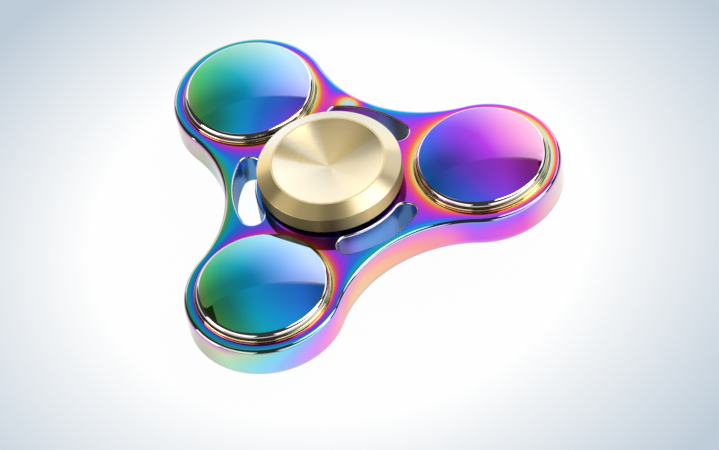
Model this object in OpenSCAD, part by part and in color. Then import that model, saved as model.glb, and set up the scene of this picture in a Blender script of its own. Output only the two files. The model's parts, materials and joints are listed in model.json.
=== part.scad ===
// Three-lobed fidget spinner: plated body, domed weights, ball bearing and two finger caps.
// The spin axis is Z, the body's mid-plane is Z = 0 and lobe "a" points along +Y.

/* [Finger caps] */
// Radius of a finger cap at its widest ridge
cap_r = 10.58; // [9.5:0.02:13]
// Width of the bevel between the ridge and the rim, seen from above
cap_bevel_w = 2.18; // [0.6:0.02:3.2]
// Height of the bevel above the ridge
cap_bevel_h = 1.1; // [0.4:0.05:1.6]
// Height of the straight band below the ridge
cap_band_h = 2.68; // [2.2:0.02:4]
// Chamfer at the foot of the band
cap_foot = 0.2; // [0.05:0.05:0.5]
// Width of the flat rim around the finger dish
cap_rim_w = 0.3; // [0.2:0.05:1]
// Depth of the finger dish below the rim
dish_depth = 1.33; // [0.5:0.01:1.8]
// Gap between a cap's underside and the body's face
cap_gap = 0.6; // [0.4:0.05:1.2]
// Metal left between the finger dish and the tapped hole
dish_floor = 1; // [0.7:0.05:1.4]
// Radius of the threaded stud that joins the caps
cap_stud_r = 2; // [1.4:0.05:2.4]

/* [Body] */
// Thickness of the body between its flat faces
body_t = 5.25; // [4.9:0.05:7]
// Rounding of the body's outer edges
edge_r = 0.65; // [0.3:0.05:1]
// Width of the lobe's face outside its boss, up to the side wall
lobe_rim_w = 1.55; // [1.2:0.05:3]
// Gap between the cap's ridge and a boss, seen from above
hub_gap = 1.47; // [0.8:0.01:4]
// Distance from the cap's ridge out to a slot's inner wall, seen from above
slot_inset = 0.67; // [0.3:0.01:1.2]
// Width of an arc slot
slot_w = 3.15; // [2:0.05:3.6]
// Angle between the two end centres of an arc slot
slot_span = 45.6; // [30:0.2:50]
// Wall between a slot and the waist at the narrowest place
neck_wall = 1.35; // [1:0.05:2.4]

/* [Weights] */
// Radius of the raised boss that carries a weight
boss_r = 9.95; // [9:0.05:12]
// Height of the boss above the body's face
boss_h = 0.6; // [0.4:0.05:1]
// Rounding of the boss's top edge
boss_edge_r = 0.28; // [0.1:0.02:0.36]
// Ledge of the boss that shows around a weight
boss_ledge = 0.32; // [0.1:0.02:0.8]
// Straight wall at the foot of a weight
weight_wall_h = 0.22; // [0.1:0.02:0.6]
// Rounding of a weight's edge
bead_r = 0.55; // [0.3:0.05:0.9]
// Radius of a weight's domed crown
crown_r = 34; // [24:0.5:60]
// Radius of the spigot that fits in the lobe
spigot_r = 6; // [4.5:0.1:7.5]
// Radius of the stud that joins two weights
weight_stud_r = 2; // [1.5:0.05:3]
// Metal left between a weight's seat plane and the end of its tapped hole
weight_floor = 0.8; // [0.4:0.05:1.2]

/* [Bearing] */
// Bore of the bearing
bearing_bore = 6.35; // [6:0.05:6.8]
// Outside diameter of the bearing
bearing_od = 12.7; // [12.3:0.05:13.2]
// Width of the bearing
bearing_w = 4.762; // [4.6:0.002:5.1]
// Ball diameter
ball_d = 1.984; // [1.7:0.002:2.1]
// Radial distance from the ball circle to a ring's land
land_gap = 0.7; // [0.62:0.01:0.8]
// Depth of the shield's seat outside the outer ring's land
shield_seat = 0.38; // [0.25:0.01:0.45]
// Thickness of a shield
shield_t = 0.2; // [0.12:0.01:0.24]
// Gap between a shield and the inner ring
shield_gap = 0.2; // [0.1:0.01:0.3]
// Height of a snap ring's wire
wire_h = 0.28; // [0.18:0.01:0.32]
// Radial width of a snap ring's wire
wire_w = 0.4; // [0.25:0.01:0.5]
// Depth of the snap ring's groove outside the shield's seat
wire_groove = 0.15; // [0.08:0.01:0.18]
// Opening of a snap ring
wire_gap = 28; // [15:1:50]
// Outer ring left above the snap ring's groove
lip_h = 0.13; // [0.08:0.01:0.18]
// Radial width of the ball cage
cage_w = 0.8; // [0.5:0.02:0.9]
// Cage left under the balls
cage_base = 0.38; // [0.25:0.01:0.42]
// Height of the cage's prongs above the ball centres
cage_prong_h = 0.45; // [0.2:0.01:0.6]

/* [Fits] */
// Radial gap of a pressed or screwed seat
seat_gap = 0.01; // [0.005:0.005:0.03]
// Running gap around a ball
ball_gap = 0.03; // [0.02:0.005:0.06]
// Gap between the tips of two parts that meet inside a bore
tip_gap = 0.2; // [0.1:0.05:0.4]

/* [Hidden] */
$fn = 96;
ROUND_STEPS = 6;
CUT = 1;
LOBES = ["a", "b", "c"];
LOBE_STEP = 360 / len(LOBES);
FIRST_LOBE = 90;
BALLS = 10;
BALL_STEP = 360 / BALLS;

ball_r = ball_d / 2;
ball_circle_r = (bearing_bore + bearing_od) / 4;
ball_room_r = ball_r + ball_gap;
inner_land_r = ball_circle_r - land_gap;
outer_land_r = ball_circle_r + land_gap;
shield_seat_r = outer_land_r + shield_seat;
wire_groove_r = shield_seat_r + wire_groove;
bearing_top = bearing_w / 2;
wire_top = bearing_top - lip_h;
shield_top = wire_top - wire_h;
shield_foot = shield_top - shield_t;

face_z = body_t / 2;
seat_z = face_z + boss_h;
lobe_r = boss_r + lobe_rim_w;
lobe_pitch = cap_r + hub_gap + boss_r;
lobe_bore_r = spigot_r + seat_gap;
hub_bore_r = bearing_od / 2 + seat_gap;
slot_in_r = cap_r + slot_inset;
slot_out_r = slot_in_r + slot_w;
slot_mid_r = (slot_in_r + slot_out_r) / 2;

// The waist arc passes the neck and is tangent to the lobes on both sides of it
neck_r = slot_out_r + neck_wall;
neck_reach = neck_r - lobe_pitch * cos(LOBE_STEP / 2);
lobe_offset = lobe_pitch * sin(LOBE_STEP / 2);
waist_r = (neck_reach * neck_reach + lobe_offset * lobe_offset - lobe_r * lobe_r)
    / (2 * (lobe_r - neck_reach));
waist_pitch = neck_r + waist_r;
waist_half_angle = atan2(lobe_offset, waist_pitch - lobe_pitch * cos(LOBE_STEP / 2));
// The waist's solid stops a hair before the tangent plane, where it is already inside the lobe
waist_stop = 0.6;
// The web reaches in past the slots, and the hub disc reaches out past them
waist_depth = waist_pitch - (hub_bore_r + slot_in_r) / 2;
hub_r = (slot_out_r + neck_r - edge_r) / 2;

flange_r = boss_r - boss_ledge;
bead_centre_r = flange_r - bead_r;
bead_centre_z = seat_z + weight_wall_h;
crown_tilt = asin(bead_centre_r / (crown_r - bead_r));
crown_centre_z = bead_centre_z - (crown_r - bead_r) * cos(crown_tilt);
crease_r = bead_centre_r + bead_r * sin(crown_tilt);
crease_z = bead_centre_z + bead_r * cos(crown_tilt);
weight_hole_end = seat_z - weight_floor;

cap_under = face_z + cap_gap;
cap_ridge = cap_under + cap_band_h;
cap_top = cap_ridge + cap_bevel_h;
cap_rim_r = cap_r - cap_bevel_w;
dish_r = cap_rim_r - cap_rim_w;
dish_curve_r = (dish_r * dish_r + dish_depth * dish_depth) / (2 * dish_depth);
cap_shoulder_r = inner_land_r - seat_gap;
cap_spigot_r = bearing_bore / 2 - seat_gap;
cap_hole_end = cap_top - dish_depth - dish_floor;
cap_foot_z = tip_gap / 2;

PLATED = [0.36, 0.33, 0.85];
PLATED_DOME = [0.10, 0.52, 0.74];
GOLD = [0.86, 0.77, 0.56];
STEEL = [0.76, 0.78, 0.81];
SHIELD_STEEL = [0.62, 0.64, 0.67];
WIRE_STEEL = [0.45, 0.46, 0.49];
CAGE_STEEL = [0.70, 0.63, 0.46];
STUD_STEEL = [0.33, 0.34, 0.37];

// Points of an arc about a centre
function arc(centre, r, from, to) =
    [for (i = [0:ROUND_STEPS]) let (a = from + (to - from) * i / ROUND_STEPS)
        centre + r * [cos(a), sin(a)]];

// The same points below the mid-plane, in reverse order
function below(points) =
    [for (i = [len(points) - 1:-1:0]) [points[i].x, -points[i].y]];

// Point at a radius and an angle about the spin axis
function polar(r, angle) = [r * cos(angle), r * sin(angle), 0];

// Direction of one lobe, and of the waist that follows it
function lobe_angle(i) = FIRST_LOBE + LOBE_STEP * i;
function waist_angle(i) = lobe_angle(i) + LOBE_STEP / 2;

// Moves its children to one lobe's centre
module at_lobe(i) {
    translate(polar(lobe_pitch, lobe_angle(i)))
        children();
}

// Turns its children upside down about the X axis
module flipped() {
    rotate([180, 0, 0])
        children();
}

// Plain ring between two radii and two heights
module ring(r_in, r_out, z_low, z_high) {
    rotate_extrude()
        translate([r_in, z_low])
            square([r_out - r_in, z_high - z_low]);
}

// One round lobe with its rounded rim and a boss on each face
module lobe() {
    upper = concat(
        arc([lobe_r - edge_r, face_z - edge_r], edge_r, 0, 90),
        [[boss_r, face_z]],
        arc([boss_r - boss_edge_r, seat_z - boss_edge_r], boss_edge_r, 0, 90),
        [[0, seat_z]]
    );
    rotate_extrude()
        polygon(concat(upper, below(upper)));
}

// The web between two lobes, with the rounded edge of the waist
module waist(i) {
    sweep = waist_half_angle - waist_stop;
    upper = concat(
        arc([waist_r + edge_r, face_z - edge_r], edge_r, 180, 90),
        [[waist_depth, face_z]]
    );
    translate(polar(waist_pitch, waist_angle(i)))
        rotate_extrude(angle = 2 * sweep, start = waist_angle(i) + 180 - sweep)
            polygon(concat(upper, below(upper)));
}

// Arc slot between two lobes, with round ends
module slot_cut(i) {
    rotate(waist_angle(i) - slot_span / 2) {
        rotate_extrude(angle = slot_span, start = 0)
            translate([slot_in_r, -face_z - CUT])
                square([slot_w, body_t + 2 * CUT]);
        for (end = [0, slot_span])
            rotate(end)
                translate([slot_mid_r, 0, 0])
                    cylinder(r = slot_w / 2, h = body_t + 2 * CUT, center = true);
    }
}

module spinner_body() {
    color(PLATED)
        difference() {
            union() {
                cylinder(r = hub_r, h = body_t, center = true);
                for (i = [0:len(LOBES) - 1]) {
                    at_lobe(i)
                        lobe();
                    waist(i);
                }
            }
            cylinder(r = hub_bore_r, h = body_t + 2 * CUT, center = true);
            for (i = [0:len(LOBES) - 1]) {
                at_lobe(i)
                    cylinder(r = lobe_bore_r, h = 2 * (seat_z + CUT), center = true);
                slot_cut(i);
            }
        }
}

// Domed weight that sits on a boss, with its spigot reaching to the mid-plane
module weight() {
    edge = concat(
        [[0, seat_z], [flange_r, seat_z]],
        arc([bead_centre_r, bead_centre_z], bead_r, 0, 90 - crown_tilt),
        [[0, crease_z]]
    );
    color(PLATED_DOME)
        difference() {
            union() {
                rotate_extrude()
                    polygon(edge);
                intersection() {
                    translate([0, 0, crown_centre_z])
                        sphere(r = crown_r);
                    translate([0, 0, seat_z])
                        cylinder(r = crease_r, h = crown_r);
                }
                translate([0, 0, tip_gap / 2])
                    cylinder(r = spigot_r, h = seat_z - tip_gap / 2);
            }
            cylinder(r = weight_stud_r + seat_gap, h = weight_hole_end);
        }
}

// Headless stud that draws two weights together
module weight_stud() {
    color(STUD_STEEL)
        cylinder(r = weight_stud_r, h = 2 * (weight_hole_end - tip_gap), center = true);
}

// Room that the rolling balls need, all round the ball circle
module ball_track() {
    rotate_extrude()
        translate([ball_circle_r, 0])
            circle(r = ball_room_r);
}

module bearing_outer_ring() {
    color(STEEL)
        difference() {
            ring(outer_land_r, bearing_od / 2, -bearing_top, bearing_top);
            ball_track();
            for (side = [0, 1])
                mirror([0, 0, side]) {
                    ring(outer_land_r - CUT, shield_seat_r, shield_foot, bearing_top + CUT);
                    ring(outer_land_r - CUT, wire_groove_r, shield_top, wire_top);
                }
        }
}

module bearing_inner_ring() {
    color(STEEL)
        difference() {
            ring(bearing_bore / 2, inner_land_r, -bearing_top, bearing_top);
            ball_track();
        }
}

// Moves its children to one ball's centre
module at_ball(i) {
    translate(polar(ball_circle_r, BALL_STEP * i))
        children();
}

module ball(i) {
    color(STEEL)
        at_ball(i)
            sphere(r = ball_r);
}

// Crown cage, open at the top, with a round pocket for each ball
module ball_cage() {
    color(CAGE_STEEL)
        difference() {
            ring(ball_circle_r - cage_w / 2, ball_circle_r + cage_w / 2,
                -ball_room_r - cage_base, cage_prong_h);
            for (i = [0:BALLS - 1])
                at_ball(i)
                    sphere(r = ball_room_r);
        }
}

module shield() {
    color(SHIELD_STEEL)
        ring(inner_land_r + shield_gap, shield_seat_r - seat_gap, shield_foot, shield_top);
}

// Split wire in the outer ring's groove, on top of the shield
module snap_ring() {
    wire_out_r = wire_groove_r - seat_gap;
    color(WIRE_STEEL)
        rotate_extrude(angle = 360 - wire_gap, start = wire_gap / 2)
            translate([wire_out_r - wire_w, shield_top])
                square([wire_w, wire_h]);
}

// Dished button with the shoulder and the spigot that hold the bearing's inner ring
module finger_button() {
    outline = [
        [0, cap_under],
        [cap_r - cap_foot, cap_under],
        [cap_r, cap_under + cap_foot],
        [cap_r, cap_ridge],
        [cap_rim_r, cap_top],
        [0, cap_top]
    ];
    difference() {
        rotate_extrude()
            polygon(outline);
        translate([0, 0, cap_top - dish_depth + dish_curve_r])
            sphere(r = dish_curve_r);
    }
    translate([0, 0, bearing_top])
        cylinder(r = cap_shoulder_r, h = cap_under - bearing_top);
    translate([0, 0, cap_foot_z])
        cylinder(r = cap_spigot_r, h = bearing_top - cap_foot_z);
}

module upper_finger_cap() {
    color(GOLD)
        difference() {
            finger_button();
            cylinder(r = cap_stud_r + seat_gap, h = cap_hole_end);
        }
}

module lower_finger_cap() {
    color(GOLD)
        union() {
            flipped()
                finger_button();
            translate([0, 0, -cap_under])
                cylinder(r = cap_stud_r, h = cap_under + cap_hole_end - tip_gap);
        }
}

spinner_body();
for (i = [0:len(LOBES) - 1]) {
    at_lobe(i) weight();
    at_lobe(i) flipped() weight();
    at_lobe(i) weight_stud();
}
bearing_outer_ring();
bearing_inner_ring();
ball_cage();
for (i = [0:BALLS - 1])
    ball(i);
shield();  // upper_shield
flipped() shield();  // lower_shield
snap_ring();  // upper_snap_ring
flipped() snap_ring();  // lower_snap_ring
upper_finger_cap();
lower_finger_cap();
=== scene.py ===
"""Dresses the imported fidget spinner: rainbow plating, turned gold caps and bearing steel."""

import json
import math
from types import SimpleNamespace

import bpy
from bpy.props import FloatProperty, FloatVectorProperty, IntProperty, PointerProperty
from mathutils import Matrix, Vector
from mathutils.geometry import tessellate_polygon


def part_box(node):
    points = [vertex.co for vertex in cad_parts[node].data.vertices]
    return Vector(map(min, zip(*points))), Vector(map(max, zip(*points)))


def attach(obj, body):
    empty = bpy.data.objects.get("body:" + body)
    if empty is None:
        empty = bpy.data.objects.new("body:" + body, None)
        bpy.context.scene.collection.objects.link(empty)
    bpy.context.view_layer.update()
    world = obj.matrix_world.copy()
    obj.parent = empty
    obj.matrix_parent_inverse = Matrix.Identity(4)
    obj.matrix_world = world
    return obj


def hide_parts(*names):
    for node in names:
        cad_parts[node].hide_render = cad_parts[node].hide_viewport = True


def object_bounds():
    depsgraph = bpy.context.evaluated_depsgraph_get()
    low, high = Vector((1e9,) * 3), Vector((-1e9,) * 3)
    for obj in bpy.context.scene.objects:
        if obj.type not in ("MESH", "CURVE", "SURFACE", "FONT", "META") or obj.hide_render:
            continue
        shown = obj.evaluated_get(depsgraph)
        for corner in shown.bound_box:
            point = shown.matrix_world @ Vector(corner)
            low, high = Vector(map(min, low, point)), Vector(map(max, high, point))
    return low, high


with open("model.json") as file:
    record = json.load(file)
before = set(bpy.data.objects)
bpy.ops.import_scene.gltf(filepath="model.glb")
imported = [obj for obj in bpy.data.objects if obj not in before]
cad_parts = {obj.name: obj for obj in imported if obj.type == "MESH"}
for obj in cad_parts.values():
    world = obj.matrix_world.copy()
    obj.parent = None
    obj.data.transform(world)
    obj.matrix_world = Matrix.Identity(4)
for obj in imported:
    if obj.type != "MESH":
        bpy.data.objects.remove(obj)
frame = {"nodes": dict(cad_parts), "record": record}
CAD_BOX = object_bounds()

bl_info = {
    "name": "Fidget spinner",
    "version": (1, 0, 0),
    "blender": (4, 5, 0),
    "location": "View3D > Sidebar > Spinner",
    "description": "Builds the plated body, domed weights and turned caps of a fidget spinner",
    "category": "Object",
}

MM = 0.001
FULL_TURN = 2 * math.pi
CENTRE = Vector((0, 0))
LEVEL = (1, 1, 0)
WHITE = (1.0, 1.0, 1.0, 1.0)
BLACK = (0.0, 0.0, 0.0, 1.0)

# Tilts of a profile's faces, from straight up towards the outside
UP = 0.0
OUT = math.pi / 2
UNDERCUT = 3 * math.pi / 4
DOWN = math.pi
IN = -math.pi / 2

# Directions of the lobes, and of the waists and slots between them
LOBES = {"a": math.radians(90), "b": math.radians(210), "c": math.radians(330)}
HALF_STEP = math.pi / len(LOBES)
WAISTS = [turn + HALF_STEP for turn in LOBES.values()]
SIDES = {"upper": 1, "lower": -1}

# Steps along the arcs of the meshes
LOBE_STEPS = 132
WAIST_STEPS = 60
SLOT_STEPS = 40
SLOT_END_STEPS = 28
BORE_STEPS = 144
EDGE_STEPS = 12
BOSS_STEPS = 10
ROOT_STEPS = 6
CROWN_STEPS = 40
BEAD_STEPS = 16
DISH_STEPS = 40
RIDGE_STEPS = 8

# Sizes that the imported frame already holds
BODY_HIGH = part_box("spinner_body")[1]
DOME_LOW, DOME_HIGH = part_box("upper_weight_a")
CAP_LOW, CAP_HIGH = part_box("upper_finger_cap")
STUD_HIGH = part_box("lower_finger_cap")[1]
RING_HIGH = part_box("bearing_inner_ring")[1]
LOBE_PITCH = (DOME_LOW.y + DOME_HIGH.y) / 2
FLOOR_Z = CAD_BOX[0].z


def length(name, description, default):
    """A size in metres."""
    return FloatProperty(name=name, description=description, default=default, unit="LENGTH",
                         precision=5)


def angle(name, description, degrees):
    """An angle, given in degrees and kept in radians."""
    return FloatProperty(name=name, description=description, default=math.radians(degrees),
                         subtype="ANGLE")


def share(name, description, default):
    """A plain number."""
    return FloatProperty(name=name, description=description, default=default)


def by_lobe(name, description, default):
    """A plain number for each of the lobes a, b and c."""
    return FloatVectorProperty(name=name, description=description, default=default, size=3)


def colour(name, description, default):
    """A scene-linear colour."""
    return FloatVectorProperty(name=name, description=description, default=default, size=3,
                               subtype="COLOR", min=0, max=1)


def direction(name, description, default):
    """A direction of length 1."""
    return FloatVectorProperty(name=name, description=description, default=default, size=3,
                               subtype="DIRECTION")


def point(name, description, default):
    """A place in metres."""
    return FloatVectorProperty(name=name, description=description, default=default, size=3,
                               subtype="TRANSLATION")


class SpinnerBodySizes(bpy.types.PropertyGroup):
    """Sizes of the plated body."""
    pitch: length("Lobe pitch", "Distance from the spin axis to a lobe's centre", LOBE_PITCH)
    lobe_r: length("Lobe radius", "Radius of a lobe's side wall", BODY_HIGH.y - LOBE_PITCH)
    neck_r: length("Neck", "Distance from the spin axis to the middle of a waist", 15.75 * MM)
    face_z: length("Face height", "Height of the flat face above the mid-plane", 2.625 * MM)
    edge_r: length("Edge rounding", "Rounding of the outer edges", 0.65 * MM)
    boss_r: length("Boss radius", "Radius of the boss under a dome", 9.95 * MM)
    boss_edge: length("Boss edge", "Rounding of the boss's top edge", 0.32 * MM)
    boss_root: length("Boss root", "Hollow rounding at the boss's foot", 0.1 * MM)
    seat_z: length("Seat height", "Height of the boss's top", BODY_HIGH.z)
    lobe_bore_r: length("Lobe bore", "Radius of the bore for a dome's spigot", 6.01 * MM)
    hub_bore_r: length("Hub bore", "Radius of the bore for the bearing", 6.36 * MM)
    hub_chamfer: length("Hub chamfer", "Chamfer of the bearing's bore", 0.15 * MM)
    slot_in_r: length("Slot inside", "Radius of a slot's inner wall", 11.25 * MM)
    slot_out_r: length("Slot outside", "Radius of a slot's outer wall", 14.4 * MM)
    slot_span: angle("Slot span", "Angle between a slot's end centres", 45.6)
    slot_edge: length("Slot edge", "Rounding of a slot's edges", 0.36 * MM)


class SpinnerDomeSizes(bpy.types.PropertyGroup):
    """Sizes of the domed weights."""
    flange_r: length("Radius", "Radius of the dome's wall", (DOME_HIGH.x - DOME_LOW.x) / 2)
    top_z: length("Top", "Height of the dome's top", DOME_HIGH.z)
    foot_z: length("Foot", "Height of the spigot's end", DOME_LOW.z)
    seat_z: length("Seat", "Height of the seat plane", BODY_HIGH.z)
    wall_h: length("Wall", "Straight wall above the seat", 0.03 * MM)
    bead_r: length("Bead", "Rounding of the dome's edge", 0.8 * MM)
    spigot_r: length("Spigot", "Radius of the spigot", 6 * MM)
    hole_r: length("Hole", "Radius of the tapped hole", 2.01 * MM)
    hole_z: length("Hole end", "Height of the tapped hole's end", 2.425 * MM)


class SpinnerCapSizes(bpy.types.PropertyGroup):
    """Sizes of the finger caps."""
    radius: length("Radius", "Radius at the ridge", CAP_HIGH.x)
    top_z: length("Top", "Height of the rim", CAP_HIGH.z)
    bevel_w: length("Bevel width", "Width of the bevel, seen from above", 2.18 * MM)
    bevel_h: length("Bevel height", "Height of the bevel", 1.1 * MM)
    band_h: length("Band", "Height of the straight band", 2.68 * MM)
    foot: length("Foot", "Chamfer at the foot of the band", 0.2 * MM)
    rim_w: length("Rim", "Width of the flat rim", 0.3 * MM)
    dish: length("Dish", "Depth of the finger dish", 1.33 * MM)
    ridge_round: length("Ridge rounding", "Rounding of the ridge", 0.1 * MM)
    shoulder_r: length("Shoulder", "Radius of the shoulder on the bearing", 4.0525 * MM)
    shoulder_z: length("Shoulder seat", "Height of the bearing's face", RING_HIGH.z)
    spigot_r: length("Spigot", "Radius of the spigot in the bearing", 3.165 * MM)
    foot_z: length("Spigot end", "Height of the spigot's end", CAP_LOW.z)
    hole_r: length("Hole", "Radius of the tapped hole", 2.01 * MM)
    hole_z: length("Hole end", "Height of the tapped hole's end", 4.675 * MM)
    stud_r: length("Stud", "Radius of the threaded stud", 2 * MM)
    stud_z: length("Stud end", "Height of the threaded stud's end", STUD_HIGH.z)


class SpinnerFilm(bpy.types.PropertyGroup):
    """How the plating's thin film runs over the body's faces and bosses."""
    sweep: direction("Sweep", "Direction in which a tilted face thins", (0.8308, -0.5567, 0))
    thick: direction("Thick side", "Direction in which the film grows", (-0.962, 0.273, 0))
    face_mid: share("Face film", "Film on the flat face beside a boss", 0.275)
    face_slope: share("Face slope", "Film gained per metre towards the thick side", 6.96)
    face_rise: share("Face rise", "Film gained far from a boss", 0.312)
    rise_length: length("Rise length", "Distance in which most of that film is gained", 1.5 * MM)
    edge_film: share("Edge film", "Film gained at the outer edge", 0.25)
    edge_length: length("Edge length", "Distance in which most of that film is lost", 0.9 * MM)
    ring_film: share("Ring film", "Film lost beside a boss on its thin side", 0.28)
    hub_side: share("Hub side", "Share of that loss towards the hub", 0.65)
    ring_length: length("Ring length", "Distance in which most of that loss fades", 1.0 * MM)
    far_film: share("Far film", "Film gained per metre on the lobe far across the sweep", 16)
    far_from: length("Far from", "Distance across the sweep at which that gain starts", 20 * MM)
    boss_film: share("Boss film", "Film on the bosses", 0.17)
    boss_thin_film: share("Thin boss film", "Film on the thin side of the bosses", 0.07)
    boss_pale: share("Boss paleness", "How bare the bosses are rubbed", 0.3)
    spot: point("Bare spot", "Where the plating rack held the body", (10.45 * MM, 10.95 * MM, 0))
    spot_film: share("Spot film", "Film lost at the bare spot", 0.68)
    spot_r: length("Spot radius", "Radius of the bare spot", 2.1 * MM)
    coat: share("Coat", "Strength of the clear hard film over the plating", 0.12)
    coat_rough: share("Coat roughness", "Roughness of that clear film", 0.02)
    coat_ior: share("Coat index", "Index of refraction of that clear film", 1.5)


class SpinnerWalls(bpy.types.PropertyGroup):
    """How the film runs over the body's side walls and rounded edges."""
    mid: share("Wall film", "Film on a side wall that faces across the sweep", 0.605)
    turn: share("Wall turn", "Film lost as a wall turns along the sweep", 0.175)
    turn_bow: share("Wall turn bow", "Film lost as a wall turns either way", 0.13)
    sweep: share("Wall sweep", "Film lost per metre along the sweep", 12.7)
    sweep_bow: share("Wall sweep bow", "Film gained per square metre along the sweep", 290)
    waist: share("Wall waist", "Film lost at the waists", 0.12)
    waist_length: length("Waist length", "Distance in which most of that film is lost", 0.8 * MM)
    rise: share("Wall rise", "Film gained per metre up the walls", 34)
    bow: share("Wall bow", "Film gained per square metre towards the walls' edges", 10000)
    end_film: share("Wall end film", "Film gained at the sweep's end", 0.07)
    gamma: share("Wall gamma", "How light the colours are at the start of the sweep", 0.55)
    end_gamma: share("Wall end gamma", "How light the colours are at its end", 0.72)
    # Paleness of the walls: partly the film's pastel colour, partly painted light from the bright
    # floor they mirror
    pale: share("Wall paleness", "How pale the walls are at the start of the sweep", 0.30)
    waist_pale: share("Waist paleness", "Paleness gained at the waists", 0.14)
    end_pale: share("Wall end paleness", "How bare the walls are at the sweep's end", 0.75)
    bare: colour("Wall end", "Bare plating of the walls at the sweep's end", (0.78, 0.77, 0.72))
    # Painted shade on the walls that face back along the sweep
    back_shade: share("Wall back shade", "Light lost on walls that face back along the sweep", 0.5)
    # Painted reflection: a greyish band along the foot of the walls
    foot: colour("Foot", "Painted reflection at the foot of the walls", (0.52, 0.47, 0.66))
    foot_reflection_share: share("Foot share", "How strongly the foot's reflection is painted", 0.55)
    foot_from: length("Foot start", "Depth below the mid-plane at which the foot starts", 1.3 * MM)
    foot_to: length("Foot end", "Depth below the mid-plane at which that reflection is strongest", 2.4 * MM)
    edge_pale: share("Edge paleness", "How bare the rounded edges are rubbed", 0.35)
    rose: colour("Edge rose", "Film on edges that face back along the sweep", (0.60, 0.28, 0.50))
    rose_share: share("Edge rose share", "How rosy those edges are", 0.75)


class SpinnerSlots(bpy.types.PropertyGroup):
    """How the film runs over the walls of the three slots."""
    near_start: share("Near slot start", "Film where the near slot starts along the sweep", 0.555)
    near_end: share("Near slot end", "Film where the near slot ends", 0.655)
    far_start: share("Far slot start", "Film where the far slot starts", 0.45)
    far_end: share("Far slot end", "Film where the far slot ends", 0.62)
    thick: share("Thick slot", "Film on the walls of the thick side's slot", 0.75)
    thick_end: share("Thick slot ends", "Film on that slot's ends", 0.665)
    # Painted light and shade: the gamma lifts the colours of the slots' walls and darkens those of
    # the thick side's slot
    gamma: share("Slot gamma", "How light the colours of the slots' walls are", 0.65)
    thick_gamma: share("Thick slot gamma", "The same on the walls of the thick side's slot", 1.6)
    edge_pale: share("Slot edge paleness", "How bare the slots' edges are rubbed", 0.85)
    pale: share("Slot paleness", "How pale the film is in the slots", 0.10)
    end_light: share("Slot ends", "Share of light kept at a slot's ends", 0.5)
    far_light: share("Far slot", "Share of light kept where the far slot starts", 0.84)
    far_end_light: share("Far slot light", "Share of light kept where the far slot ends", 0.08)


class SpinnerCrowns(bpy.types.PropertyGroup):
    """How the film runs over the domes, lobe by lobe."""
    film: by_lobe("Dome film", "Film at a dome's top", (0.748, 0.712, 0.474))
    turn: by_lobe("Dome turn", "Film gained as a dome tilts along the sweep",
                  (-0.588, -0.527, -0.53))
    lean: by_lobe("Dome lean", "Film gained as a dome tilts across the sweep",
                  (0.272, -0.022, -0.266))
    twist: by_lobe("Dome twist", "Film gained as a dome tilts both ways", (1.742, 0.877, -0.089))
    turn_bow: by_lobe("Dome turn bow", "Film gained towards both ends of the sweep",
                      (0.471, 1.267, 0.537))
    lean_bow: by_lobe("Dome lean bow", "Film gained towards both sides of the sweep",
                      (0.226, 1.169, 0.707))
    shade: by_lobe("Dome shade", "Share of light that a dome mirrors", (1.0, 1.0, 0.8))
    # Painted glare: paleness that stands in for the back panel's reflection on the domes
    glare: by_lobe("Glare", "Paleness at a dome's top", (0.02, 0.02, -0.04))
    glare_turn: share("Veil turn", "Paleness gained as a dome tilts along the sweep", 1.0)
    glare_lean: share("Veil lean", "Paleness gained as a dome tilts across the sweep", 0.5)
    glare_twist: share("Veil twist", "Paleness gained as a dome tilts both ways", 1.2)
    glare_turn_bow: share("Veil turn bow", "Paleness gained towards both ends of the sweep", 3.2)
    glare_lean_bow: share("Veil lean bow", "Paleness gained towards both sides of the sweep", 2.6)
    glare_most: share("Veil limit", "Most paleness on a dome", 0.46)
    glare_line: share("Veil line", "Tilt across the sweep at which the paleness starts", -0.067)
    glare_edge: share("Veil edge", "Further tilt at which the paleness is full", 0.015)
    glare_shift: share("Veil shift", "Change of that tilt per metre across the sweep", 1.3)
    bead_film: share("Bead film", "Film on a dome's rounded edge", 0.08)
    bead_pale: share("Bead paleness", "How bare a dome's rounded edge is rubbed", 0.7)
    bead_rose: share("Bead rose", "How rosy that edge is where it faces back", 0.35)


class SpinnerRainbow(bpy.types.PropertyGroup):
    """Colours of the film, from the thinnest to the thickest, and of the painted shade where a dome
    meets its boss.
    """
    silver: colour("Silver", "Bare plating", (0.60, 0.74, 0.78))
    straw: colour("Straw", "Palest film", (0.69, 0.69, 0.35))
    yellow: colour("Yellow", "Thin film", (0.85, 0.58, 0.12))
    orange: colour("Orange", "Thin film", (0.94, 0.30, 0.06))
    red: colour("Red", "Thin film", (0.90, 0.12, 0.13))
    magenta: colour("Magenta", "Middling film", (0.80, 0.05, 0.46))
    purple: colour("Purple", "Middling film", (0.46, 0.04, 0.82))
    violet: colour("Violet", "Middling film", (0.27, 0.06, 0.95))
    indigo: colour("Indigo", "Middling film", (0.08, 0.12, 0.95))
    blue: colour("Blue", "Thick film", (0.02, 0.20, 0.88))
    azure: colour("Azure", "Thick film", (0.005, 0.355, 0.85))
    teal: colour("Teal", "Thick film", (0.0, 0.45, 0.66))
    sea: colour("Sea green", "Thick film", (0.02, 0.43, 0.31))
    green: colour("Green", "Thick film", (0.06, 0.47, 0.13))
    olive: colour("Olive", "Thickest film", (0.36, 0.42, 0.10))
    rose: colour("Rose", "Film past the first turn", (0.85, 0.45, 0.50))
    orchid: colour("Orchid", "Film past the first turn", (0.78, 0.45, 0.80))
    # Painted shade in the crease where a dome meets its boss
    joint: colour("Joint", "Grime where a dome meets its boss", (0.20, 0.11, 0.04))


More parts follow.
